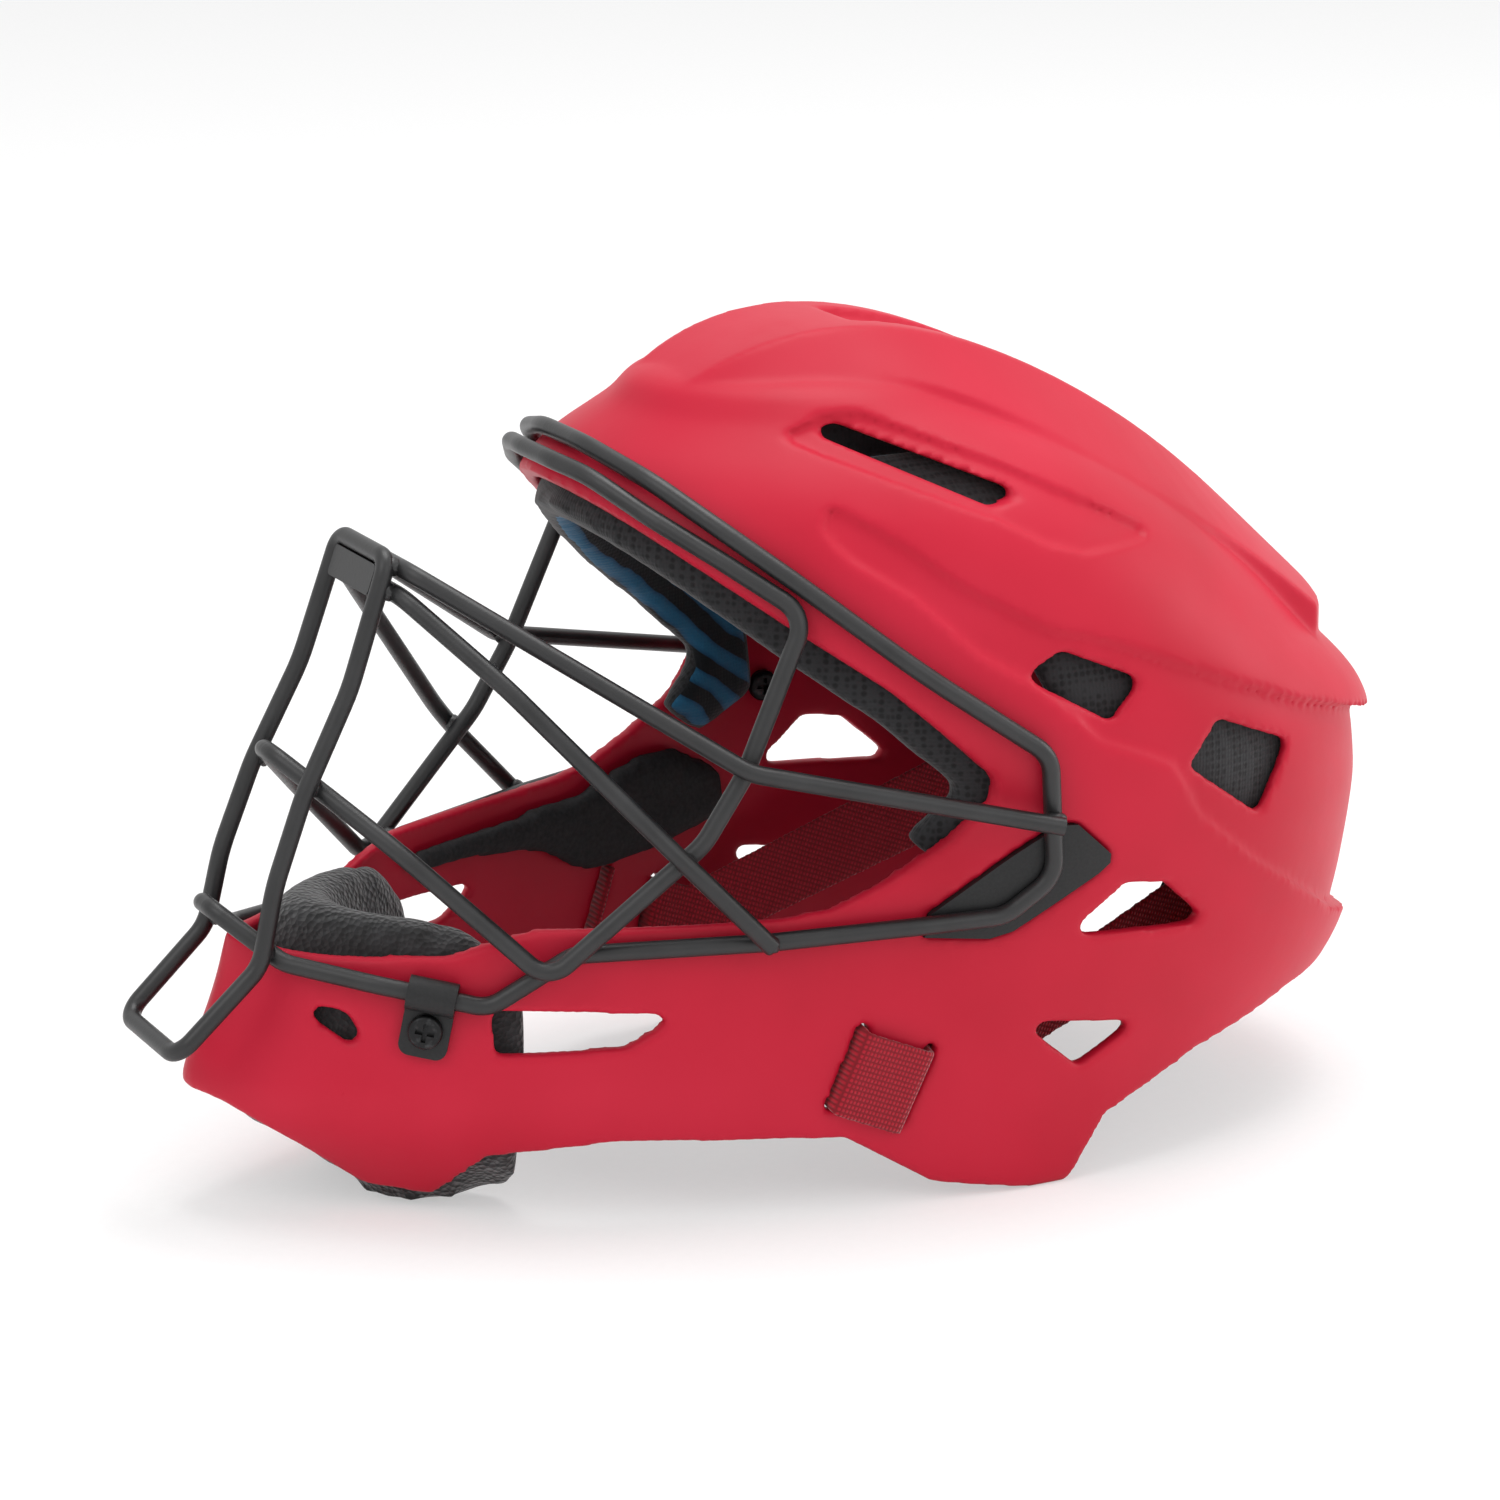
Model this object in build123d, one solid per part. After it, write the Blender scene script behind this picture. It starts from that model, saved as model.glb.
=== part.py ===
from build123d import *
import os
from math import cos, dist, pi, sin

# Baseball catcher's helmet: one-piece shell with jaw guard, wire cage, pads and sliding rear plate.
# Millimetres. X is to the wearer's left, Y to the back, Z up from the table that the helmet rests on.

# Shell
shell_height = 212.0          # table to the dome under the crown band
half_width = 97.5             # centre line to the shell over the ear
chin_reach = 168.0            # datum to the chin
back_reach = 190.0            # datum to the back of the head
wall = 3.6                    # moulded wall
groove_step = 1.5             # depth of the side groove over the ear
groove_back_step = 5.5        # extra depth of the same groove at the back of the head
rim_round = 7.0               # corners of the face opening
slot_round = 2.0              # corners of vents
ring_points = 16              # points round one level
overrun = 40.0                # cutters pass their work by this much
bed_reach = 30.0              # centre line to the start of side cutters that stay off the crown

# Crown band
band_wall = 3.6
band_depth = 26.0             # foot of the band's sides, sunk in the shell
gutter_width = 18.0           # channel along the middle of the band
gutter_depth = 3.5
gutter_start = 3              # station of the band where the channel starts

# Arch cut in the back of the shell, where the sliding plate shows
arch_half_width = 36.0
arch_splay = 11.0             # extra half width at the foot
arch_height = 86.0
arch_shoulder = 70.0

# Cage
wire = 4.8                    # diameter of the coated wire
nose_plate_thickness = 3.0
nose_plate_play = 0.2

# Chin clips
clip_width = 12.7
clip_thickness = 2.0
clip_drop = 16.5              # wire centre to the foot of the clip
clip_round = 3.0
clip_play = 0.15
clip_seat = 0.1               # clip to shell
clip_run = 3                  # point of the perimeter wire where the clip's straight run starts
clip_facing = -31.0           # degrees from the wearer's left
clip_lean = 6.0               # degrees up
screw_drop = 9.4              # wire centre to the screw
screw_head = 9.0
screw_head_height = 2.4
screw_shank = 4.0
driver_width = 1.2            # cross recess
driver_length = 5.0
driver_depth = 1.4
nut_flange = 11.0
nut_flange_thickness = 1.6
nut_barrel = 6.5
nut_sink = 0.5                # spot face for the nut in the inside wall
running_gap = 0.3

# Side retainers
retainer_thickness = 3.2
retainer_proud = 0.6
retainer_gap = 0.5
retainer_shank_depth = 1.4    # thread in the retainer

# Pads
pad_gap = 0.6
chin_pad_gap = 0.9            # the chin cushion is tucked in from below, so it sits looser
pad_edge = 3.0                # set-back of a pad's crown from its edge
pad_crown = 3.0               # height of the crown over the edge
pad_round = 4.0
brow_thickness = 10.0
crown_thickness = 8.0
foam_thickness = 8.0
jaw_pad_thickness = 6.5
chin_pad_thickness = 20.0
pocket_gap = 0.8              # pad to the screws and nuts behind it

# Rear plate
plate_gap = 3.2               # shell to the sliding plate
plate_wall = 2.8
plate_pad_thickness = 9.0
plate_pad_inset = 5.0
plate_round = 5.0

# Straps
strap_width = 24.0
top_strap_width = 15.0
strap_thickness = 1.6
strap_slot_gap = 0.8
strap_stand = 1.5             # strap over the shell
strap_lean = 21.0             # degrees, slots from upright
strap_tilt = 8.0              # degrees, as the wall draws in below
strap_fold = 4.0              # strap inside the wall, before it turns back

shell_inset = wall + groove_step
shell_belt = groove_back_step
pad_inset = shell_inset + pad_gap
chin_pad_inset = shell_inset + chin_pad_gap
plate_inset = shell_inset + plate_gap

# Shell levels: height, chin reach, back reach, half width and place of the widest point, as shares
# of the sizes above, then the powers of the front and back curves.
level_shares = (
    (0, -0.881, 0.768, 0.862, 0.237, 1.5, 2.0),
    (0.104, -0.929, 0.832, 0.903, 0.263, 1.5, 2.0),
    (0.208, -0.952, 0.932, 0.928, 0.284, 1.5, 2.0),
    (0.302, -0.905, 0.958, 0.949, 0.316, 1.5, 2.05),
    (0.387, -0.857, 0.963, 0.964, 0.347, 1.5, 2.1),
    (0.472, -0.5, 0.958, 0.985, 0.358, 1.6, 2.1),
    (0.547, -0.339, 0.926, 0.995, 0.347, 1.9, 2.1),
    (0.623, -0.363, 0.837, 0.985, 0.316, 2.0, 2.1),
    (0.708, -0.375, 0.747, 0.938, 0.289, 2.0, 2.05),
    (0.783, -0.381, 0.658, 0.862, 0.253, 2.0, 2.0),
    (0.854, -0.378, 0.547, 0.754, 0.211, 2.0, 2.0),
    (0.91, -0.321, 0.447, 0.615, 0.163, 2.0, 2.0),
    (0.962, -0.22, 0.332, 0.451, 0.1, 2.0, 2.0),
    (1, -0.119, 0.221, 0.267, 0.053, 2.0, 2.0),
)

# Crown band: stations along Y with the flat top's half width and height, and the foot's.
band_shares = (
    (-0.226, 0.082, 0.947, 0.154, 0.934), (-0.131, 0.164, 1.002, 0.256, 0.969),
    (0, 0.195, 1.04, 0.308, 0.993), (0.132, 0.205, 1.046, 0.359, 0.991),
    (0.289, 0.205, 1.014, 0.451, 0.941), (0.458, 0.215, 0.943, 0.523, 0.854),
    (0.626, 0.215, 0.84, 0.554, 0.755), (0.789, 0.205, 0.71, 0.554, 0.644),
    (0.926, 0.185, 0.58, 0.533, 0.528),
)
band_end_share = (0.544, 0.768, 0.868)   # half width, its place and the middle's, of the band's rear end

# Outlines seen from the side: place along Y and height
face_opening_shares = (
    (-1.19, 0.882), (-0.367, 0.881), (-0.32, 0.854), (-0.247, 0.807), (-0.133, 0.736), (0, 0.658),
    (0.15, 0.533), (0.083, 0.467), (0, 0.422), (-0.083, 0.391), (-0.167, 0.38), (-0.512, 0.375),
    (-0.577, 0.358), (-0.631, 0.342), (-0.792, 0.337), (-1.19, 0.358),
)
under_shares = (
    (-1.19, 0.208), (-0.938, 0.151), (-0.833, 0.095), (-0.734, 0.035), (-0.643, 0.024), (-0.588, 0.087),
    (-0.405, 0.106), (-0.065, 0.094), (0.068, 0.024), (0.211, 0), (0.274, 0), (0.326, 0.083),
    (0.484, 0.142), (0.684, 0.179), (1.211, 0.179), (1.211, -0.283), (-1.19, -0.283),
)
groove_shares = (
    (-0.071, 0.849), (-0.049, 0.875), (0.029, 0.835), (0.103, 0.781), (0.216, 0.724), (0.295, 0.706),
    (0.632, 0.585), (1.211, 0.406), (1.211, 0.17), (1, 0.179), (0.768, 0.269), (0.547, 0.396),
    (0.442, 0.47), (0.392, 0.542), (0.284, 0.58), (0.187, 0.66), (0.113, 0.7), (0.039, 0.769),
    (-0.042, 0.816),
)
slot_shares = ((-0.027, 0.946), (0.021, 0.951), (0.247, 0.865), (0.184, 0.858))
slot_bed_shares = (
    (-0.077, 0.943), (0.007, 0.965), (0.051, 0.965), (0.218, 0.904), (0.295, 0.87), (0.425, 0.814),
    (0.416, 0.802), (0.3, 0.8), (0.242, 0.816), (0.182, 0.847), (-0.024, 0.922),
)
vent_shares = (
    ((0.174, 0.669), (0.232, 0.696), (0.353, 0.65), (0.3, 0.605)),
    ((0.479, 0.585), (0.618, 0.534), (0.561, 0.45), (0.426, 0.533)),
    ((0.245, 0.336), (0.329, 0.395), (0.395, 0.387), (0.479, 0.321)),
    ((0.179, 0.23), (0.374, 0.204), (0.276, 0.157)),
)
jaw_window_shares = ((-0.58, 0.222), (-0.58, 0.277), (-0.31, 0.268), (-0.395, 0.228))
chin_vent_shares = ((-0.844, 0.281), (-0.768, 0.27), (-0.742, 0.215))
retainer_shares = (
    (0.226, 0.483), (0.247, 0.482), (0.299, 0.439), (0.299, 0.427), (0.283, 0.415), (0.16, 0.351),
    (0.128, 0.344), (0.039, 0.351), (0.048, 0.38), (0.202, 0.471),
)
retainer_screw_share = (0.947, 0.255, 0.448)

# Pads seen from the side
brow_shares = (
    (-0.446, 0.887), (-0.339, 0.833), (-0.226, 0.757), (-0.119, 0.684), (0, 0.611), (0.111, 0.521),
    (0.042, 0.458), (0.116, 0.41), (0.221, 0.453), (0.211, 0.566), (0.158, 0.66), (0.032, 0.774),
    (-0.107, 0.858), (-0.214, 0.943),
)
foam_shares = (
    (-0.048, 0.896), (0.074, 0.802), (0.2, 0.684), (0.253, 0.575), (0.316, 0.472), (0.526, 0.443),
    (0.663, 0.443), (0.663, 0.66), (0.526, 0.783), (0.316, 0.877), (0.105, 0.958), (0, 0.958),
)
jaw_pad_shares = (
    (-0.488, 0.344), (-0.119, 0.358), (0, 0.392), (0.074, 0.396), (0.168, 0.349), (0.179, 0.283),
    (0.026, 0.25), (-0.107, 0.245), (-0.202, 0.292), (-0.357, 0.307), (-0.488, 0.309),
)
foam_reach_share = 0.44       # start of the side foam across the head
crown_half_share = 0.36       # half width of the crown pad
crown_ends_share = (0, -0.095, 0.579)

chin_pad_shares = (
    (-1.369, 0.396), (-1.369, 0.283), (-0.893, 0.09), (-0.738, 0), (-0.583, 0), (-0.5, 0.028),
    (-0.5, 0.292), (-0.571, 0.373), (-0.774, 0.396),
)

# Rear plate seen from behind: half width and height
plate_shares = (
    (0.0, 0.555), (0.4, 0.555), (0.62, 0.5), (0.62, 0.34), (0.54, 0.3), (0.31, 0.28), (0.28, 0.15),
    (0.2, 0.11), (0.0, 0.11),
)
plate_front_share = (0, 0, 0.526)

# Straps
strap_front_share = (0.821, -0.068, 0.186)
strap_rear_share = (0.856, 0.032, 0.156)
strap_anchor_share = (0.631, 0.695, 0.358)
top_slot_share = (0, 0.737, 0.755)
top_strap_shares = ((0.682, 0.79), (0.737, 0.746), (0.742, 0.703), (0.803, 0.604), (0.835, 0.558))
clip_run_share = 0.5          # the clip along its straight run of the perimeter wire

# Wires from the front centre outward: across, along, up, and the bend there in wire diameters
perimeter_shares = (
    (0, -0.933, 0.389, 0), (0.046, -0.933, 0.389, 1.2), (0.195, -0.854, 0.332, 2.5),
    (0.362, -0.742, 0.314, 6.2), (0.511, -0.594, 0.287, 1.9), (0.597, -0.473, 0.352, 2.1),
    (0.788, -0.197, 0.361, 12.5), (0.897, 0.025, 0.37, 12.5), (0.944, 0.144, 0.374, 2.5),
    (0.966, 0.215, 0.419, 1.9), (1.013, 0.191, 0.58, 2.1), (0.916, 0.023, 0.688, 12.5),
    (0.698, -0.135, 0.798, 12.5), (0.566, -0.215, 0.852, 8.3), (0.398, -0.282, 0.9, 5.2),
    (0.133, -0.323, 0.927, 6.2), (0, -0.323, 0.927, 0),
)
v_shares = (
    (0, -0.826, 0.573, 0), (0.041, -0.826, 0.573, 1.7), (0.185, -0.771, 0.531, 12.5),
    (0.369, -0.699, 0.475, 12.5), (0.627, -0.524, 0.329, 1.5), (0.744, -0.295, 0.49, 4.2),
    (0.755, -0.229, 0.571, 6.2), (0.747, -0.123, 0.757, 1.7), (0.587, -0.223, 0.818, 8.3),
    (0.438, -0.296, 0.861, 5.2), (0.248, -0.35, 0.9, 5.2), (0.092, -0.371, 0.908, 4.2),
    (0, -0.371, 0.908, 0),
)
upper_rail_shares = (
    (1.045, 0.204, 0.493, 0), (0.812, -0.236, 0.58, 2.9), (0.2, -0.636, 0.8, 1.7), (0, -0.636, 0.8, 0),
)
diagonal_shares = (
    (0.835, -0.205, 0.362, 0), (0.781, -0.343, 0.48, 12.5), (0.451, -0.542, 0.675, 12.5),
    (0.21, -0.65, 0.771, 1.7), (0, -0.65, 0.771, 0),
)
centre_loop_shares = (
    (0, -0.661, 0.815, 0), (0.164, -0.661, 0.815, 1), (0.174, -0.73, 0.66, 12.5),
    (0.185, -0.811, 0.538, 12.5), (0.195, -0.865, 0.429, 12.5), (0.202, -0.893, 0.333, 2.5),
    (0.194, -1.03, 0.233, 1.2), (0, -1.03, 0.233, 0),
)
nose_plate_drop_share = 0.05  # height of the plate in the centre loop's top


def span(share):
    """a place along Y: ahead of the datum as a share of the chin's reach, behind it of the back's"""
    return share * (chin_reach if share < 0 else back_reach)


def side(shares):
    """points of a side outline, (Y, Z), from shares"""
    return [(span(y), z * shell_height) for y, z in shares]


def place(x, y, z):
    return Vector(x * half_width, span(y), z * shell_height)


def one(shape):
    """the largest solid of a shape"""
    return max(shape.solids(), key=lambda s: s.volume)


def both(half):
    """a solid across the centre line, from its left half"""
    return one(half + mirror(half, Plane.YZ))


def ring_corners(z, front, back, wide, widest, front_power, back_power):
    """points of one level of the shell: two half superellipses"""
    points = []
    for k in range(ring_points):
        turn = 2 * pi * k / ring_points
        power, reach = (front_power, widest - front) if cos(turn) > 0 else (back_power, back - widest)
        across = abs(sin(turn)) ** (2 / power) * (1 if sin(turn) > 0 else -1)
        along = abs(cos(turn)) ** (2 / power) * (1 if cos(turn) > 0 else -1)
        points.append((wide * across, widest - reach * along, z))
    return points


def ring_steps():
    """how far round a level each point stands, the same on every level"""
    points = ring_corners(0, -chin_reach, back_reach, half_width, back_reach / 4, 2, 2)
    sides = [dist(start, end) for start, end in zip(points, points[1:] + points[:1])]
    return [sum(sides[:k]) / sum(sides) for k in range(ring_points + 1)]


def ring(level, inset=0.0, belt=0.0):
    """one level drawn in by inset all round and by belt more at the back"""
    height, front, back, wide, widest, front_power, back_power = level
    z = height * shell_height - inset * max(0, 2 * height - 1)
    reaches = span(front) + inset, back * back_reach - inset - belt
    width, middle = wide * half_width - inset, widest * back_reach
    points = ring_corners(z, *reaches, width, middle, front_power, back_power)
    points = [Vector(*point) for point in points]
    return Wire(Edge.make_spline(points, periodic=True, parameters=ring_steps()))


def body(inset=0.0, belt=0.0):
    """the shell's outer form, drawn in"""
    return Solid.make_loft([ring(level, inset, belt) for level in level_shares])


def side_face(points, corner=0.0):
    face = make_face(Plane.YZ * Polyline(*points, close=True))
    return fillet(face.vertices(), corner) if corner else face


def side_prism(points, corner=0.0, near=None):
    """a prism along X through a side outline, on both sides or from near the centre line outward"""
    reach = half_width + overrun
    start = -reach if near is None else near
    return Pos(start, 0, 0) * extrude(side_face(points, corner), reach - start, dir=(1, 0, 0))


def both_sides(shape):
    return [shape, mirror(shape, Plane.YZ)]


def band(drop=0.0):
    """the raised band over the crown, or with a drop the hollow under it"""
    sections = []
    for y, top_x, top_z, foot_x, foot_z in band_shares:
        foot, top = foot_x * half_width - drop, top_x * half_width - drop / 2
        high, low = top_z * shell_height - drop, foot_z * shell_height - drop
        half = [(top, high), (foot, low), (foot, low - band_depth)]
        corners = half + [(-x, z) for x, z in reversed(half)]
        plane = Plane(origin=(0, span(y), 0), x_dir=(1, 0, 0), z_dir=(0, -1, 0))
        sections.append(plane * make_face(Polyline(*corners, close=True)))
    return loft(sections) & plan_prism(drop)


def plan_prism(drop):
    """everything over the band's outline, seen from above"""
    share_half, share_corner, share_middle = band_end_share
    half = share_half * half_width - drop
    corner, middle = span(share_corner) - drop, span(share_middle) - drop
    rear = ThreePointArc((half, corner), (0, middle), (-half, corner))
    front = Polyline((-half, corner), (-half, -chin_reach), (half, -chin_reach), (half, corner))
    return extrude(make_face([rear, front]), shell_height + overrun, dir=(0, 0, 1))


def gutter():
    """channel along the middle of the band, which the top strap lies in"""
    sections = []
    for y, top_x, top_z, foot_x, foot_z in band_shares[gutter_start:]:
        floor = top_z * shell_height - gutter_depth
        plane = Plane(origin=(0, span(y), floor), x_dir=(1, 0, 0), z_dir=(0, -1, 0))
        half, flare = gutter_width / 2, gutter_width / 2 + overrun / 2
        corners = [(-half, 0), (half, 0), (flare, overrun), (-flare, overrun)]
        sections.append(plane * make_face(Polyline(*corners, close=True)))
    return loft(sections)


def arch():
    """cut-out in the back of the shell, where the sliding plate shows"""
    half, foot = arch_half_width, arch_half_width + arch_splay
    plane = Plane(origin=(0, back_reach + overrun, 0), x_dir=(-1, 0, 0), z_dir=(0, -1, 0))
    right = [(half / 2, arch_height), (half, arch_shoulder), (foot, -overrun)]
    corners = right + [(-x, z) for x, z in reversed(right)]
    face = fillet((plane * make_face(Polyline(*corners, close=True))).vertices(), rim_round)
    return extrude(face, 2 * overrun + back_reach / 4, dir=(0, -1, 0))


def shell():
    groove = side_prism(side(groove_shares)) - body(groove_step, groove_back_step)
    bed = one(side_prism(side(slot_bed_shares), near=bed_reach) - body(groove_step))
    form = one(body().cut(groove, *both_sides(bed)) + (band() - gutter()))
    cutters = [body(shell_inset, shell_belt), band(band_wall + gutter_depth), arch(), top_slot()]
    cutters.append(side_prism(side(face_opening_shares), rim_round))
    cutters.append(side_prism(side(under_shares)))
    for shares in vent_shares + (jaw_window_shares, chin_vent_shares):
        cutters.append(side_prism(side(shares), slot_round))
    slot = side_prism(side(slot_shares), slot_round / 2, near=bed_reach)
    for cutter in (slot, retainer_bed(), retainer_bore(), *strap_slots(), clip_bore(), clip_spot_face()):
        cutters += both_sides(cutter)
    return one(form.cut(*cutters))


def rod(shares, thickness=wire):
    """half of a wire: straight runs joined by bends"""
    points = [place(x, y, z) for x, y, z, bend in shares]
    bends = [bend * wire for x, y, z, bend in shares[1:-1]]
    path = FilletPolyline(*points, radius=bends)
    return sweep(Plane(origin=path @ 0, z_dir=path % 0) * Circle(thickness / 2), path=path)


def nose_plate():
    """flat plate welded in the top of the centre loop"""
    top, foot = place(*centre_loop_shares[1][:3]), place(*centre_loop_shares[2][:3])
    down = (foot - top).normalized()
    drop, half = nose_plate_drop_share * shell_height, top.X - wire / 2 - nose_plate_play
    plane = Plane(origin=(0, top.Y, top.Z), x_dir=(1, 0, 0), z_dir=down.cross(Vector(1, 0, 0)))
    sheet = Box(2 * half, drop - wire / 2, nose_plate_thickness)
    sheet = fillet(sheet.edges().filter_by(Axis.Z), clip_round / 2)
    side_of = -1 if plane.y_dir.dot(down) < 0 else 1
    return plane * Pos(0, side_of * (drop + wire / 2 + 2 * nose_plate_play) / 2, 0) * sheet


def retainer_prism(grow=0.0):
    outline = offset(side_face(side(retainer_shares)), grow, kind=Kind.INTERSECTION)
    return Pos(half_width / 2, 0, 0) * extrude(outline, half_width, dir=(1, 0, 0))


def retainer_bed():
    return one(retainer_prism(retainer_gap) - body(retainer_thickness - retainer_proud))


def retainer():
    """plate let into the shell behind the cheek, with a channel for the perimeter wire"""
    under = retainer_thickness - retainer_proud - pad_gap / 2
    plate = one((retainer_prism() & body(-retainer_proud)) - body(under))
    channel = rod(perimeter_shares, wire + 2 * clip_play)
    hole = Cylinder((screw_shank + running_gap) / 2, retainer_thickness)
    bore = Pos(0, 0, clip_seat - retainer_thickness / 2) * hole
    return one(plate.cut(channel, retainer_axis() * bore))


def retainer_axis():
    """the retainer's screw: origin where its thread ends in the plate, Z outward"""
    return Plane(origin=place(*retainer_screw_share), x_dir=(0, 1, 0), z_dir=(1, 0, 0))


def retainer_bore():
    """hole through the wall with a spot face for the head inside"""
    reach = half_width / 4
    bore = Pos(0, 0, -reach / 2) * Cylinder((screw_shank + running_gap) / 2, reach)
    depth = clip_seat - retainer_screw_length() - reach / 2
    seat = Pos(0, 0, depth) * Cylinder(screw_head / 2 + running_gap, reach)
    return retainer_axis() * (bore + seat)


def screw(length):
    """pan-head screw: origin under the head, head toward +Z"""
    head = Pos(0, 0, screw_head_height / 2) * Cylinder(screw_head / 2, screw_head_height)
    head = fillet(head.edges().group_by(Axis.Z)[-1], screw_head_height / 2)
    for turn in (0, 90):
        blade = Box(driver_length, driver_width, 2 * driver_depth)
        head -= Pos(0, 0, screw_head_height) * Rot(0, 0, turn) * blade
    return head + Pos(0, 0, -length / 2) * Cylinder(screw_shank / 2, length)


def clip_plane():
    """origin in the wire's centre, Z outward from the shell, Y up"""
    turn, lean = pi * clip_facing / 180, pi * clip_lean / 180
    outward = Vector(cos(turn) * cos(lean), sin(turn) * cos(lean), sin(lean))
    front, rear = [place(*perimeter_shares[k][:3]) for k in (clip_run, clip_run + 1)]
    along = (rear - front).normalized()
    outward = (outward - along * outward.dot(along)).normalized()
    return Plane(origin=front + (rear - front) * clip_run_share, x_dir=along, z_dir=outward)


def clip():
    """hook over the wire with a tab down the shell"""
    hold = wire / 2 + clip_play
    hook = Rot(0, 90, 0) * (Cylinder(hold + clip_thickness, clip_width) - Cylinder(hold, clip_width))
    tab = Pos(0, -clip_drop / 2, (clip_thickness - wire) / 2) * Box(clip_width, clip_drop, clip_thickness)
    foot = tab.edges().filter_by(Axis.Z).group_by(Axis.Y)[0]
    tab = fillet(foot, clip_round) - Rot(0, 90, 0) * Cylinder(hold, clip_width)
    hole = Pos(0, -screw_drop, 0) * Cylinder((screw_shank + running_gap) / 2, overrun)
    return one(clip_plane() * ((hook + tab) - hole) - body(-clip_seat))


def clip_bore():
    return clip_plane() * Pos(0, -screw_drop, 0) * Cylinder((nut_barrel + running_gap) / 2, overrun)


def flange_depth():
    """the nut's seat in the inside wall, below the wire's centre"""
    return -wire / 2 - shell_inset + nut_sink


def clip_spot_face():
    centre = flange_depth() - overrun / 4
    return clip_plane() * Pos(0, -screw_drop, centre) * Cylinder(nut_flange / 2 + running_gap, overrun / 2)


def clip_nut():
    """tee nut from inside the jaw"""
    rim = Cylinder(nut_flange / 2, nut_flange_thickness)
    flange = Pos(0, 0, flange_depth() - nut_flange_thickness / 2) * rim
    length = wall
    barrel = Pos(0, 0, flange_depth() + length / 2) * Cylinder(nut_barrel / 2, length)
    bore = Cylinder((screw_shank + running_gap) / 2, overrun)
    return clip_plane() * Pos(0, -screw_drop, 0) * ((flange + barrel) - bore)


def clip_screw():
    under_head = clip_thickness - wire / 2 + clip_seat
    length = under_head - flange_depth() + nut_flange_thickness
    return clip_plane() * Pos(0, -screw_drop, under_head) * screw(length)


def retainer_screw():
    """from inside the shell into the retainer"""
    length = retainer_screw_length()
    return retainer_axis() * Rot(0, 180, 0) * Pos(0, 0, length) * screw(length)


def retainer_screw_length():
    return shell_inset - retainer_thickness + retainer_proud + retainer_shank_depth - nut_sink


def lining(shares, thickness, near=0.0, start=pad_inset):
    """a pad against the inside wall within a side outline, with its crown set back from its edge"""
    base, crown = side_prism(side(shares), near=near), offset(side_face(side(shares)), -pad_edge)
    reach = half_width + overrun
    crown = Pos(near, 0, 0) * extrude(crown, reach - near, dir=(1, 0, 0))
    outer = body(start, shell_belt)
    edge = (base & outer) - body(start + thickness - pad_crown, shell_belt)
    return one(edge + ((crown & outer) - body(start + thickness, shell_belt)))


def nut_pocket():
    """room in a pad round the clip's nut"""
    room = Cylinder(nut_flange / 2 + pocket_gap, overrun / 2)
    return clip_plane() * Pos(0, -screw_drop, flange_depth()) * room


def jaw_pad():
    return one(lining(jaw_pad_shares, jaw_pad_thickness, bed_reach) - nut_pocket())


def crown_pad():
    half, (zero, front, rear) = crown_half_share * half_width, [span(share) for share in crown_ends_share]
    middle, length = (front + rear) / 2, rear - front
    prism = Pos(0, middle, shell_height) * Box(2 * half, length, shell_height)
    prism = fillet(prism.edges().filter_by(Axis.Z), pad_round)
    return one((prism & body(pad_inset, shell_belt)) - body(pad_inset + crown_thickness, shell_belt))


def chin_pad():
    """cushion round the inside of the chin, flat where it stands"""
    cushion = lining(chin_pad_shares, chin_pad_thickness, start=chin_pad_inset)
    return one(both(cushion).cut(*both_sides(nut_pocket())))


def rear_prism(inset=0.0):
    """everything behind the head within the plate's outline, seen from behind"""
    half = [(x * half_width, z * shell_height) for x, z in plate_shares]
    corners = half + [(-x, z) for x, z in reversed(half[1:-1])]
    plane = Plane(origin=(0, span(plate_front_share[2]), 0), x_dir=(1, 0, 0), z_dir=(0, -1, 0))
    face = plane * make_face(Polyline(*corners, close=True))
    face = offset(face, -inset) if inset else fillet(face.vertices(), plate_round)
    return extrude(face, back_reach, dir=(0, 1, 0))


def rear_plate():
    plate = (rear_prism() & body(plate_inset, shell_belt)) - body(plate_inset + plate_wall, shell_belt)
    return one(plate)


def rear_plate_pad():
    start = plate_inset + plate_wall + running_gap
    prism = rear_prism(plate_pad_inset)
    return one((prism & body(start, shell_belt)) - body(start + plate_pad_thickness, shell_belt))


def strap_plane(share):
    """a slot's own plane: X along the shell to the back, Y up along the slot, Z outward"""
    turn, tilt = pi * strap_lean / 180, pi * strap_tilt / 180
    outward = Vector(cos(tilt), -sin(tilt) * sin(turn), -sin(tilt) * cos(turn))
    return Plane(origin=place(*share), x_dir=(0, cos(turn), -sin(turn)), z_dir=outward)


def strap_slots():
    slot = Box(strap_thickness + 2 * strap_slot_gap, strap_width + 2 * strap_slot_gap, overrun)
    return [strap_plane(share) * slot for share in (strap_front_share, strap_rear_share)]


def ribbon(points, plane, width):
    """a strap along a route in one plane"""
    path = plane * FilletPolyline(*points, radius=strap_thickness)
    profile = Plane(origin=path @ 0, x_dir=plane.z_dir, z_dir=path % 0) * Rectangle(width, strap_thickness)
    return sweep(profile, path=path)


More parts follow.
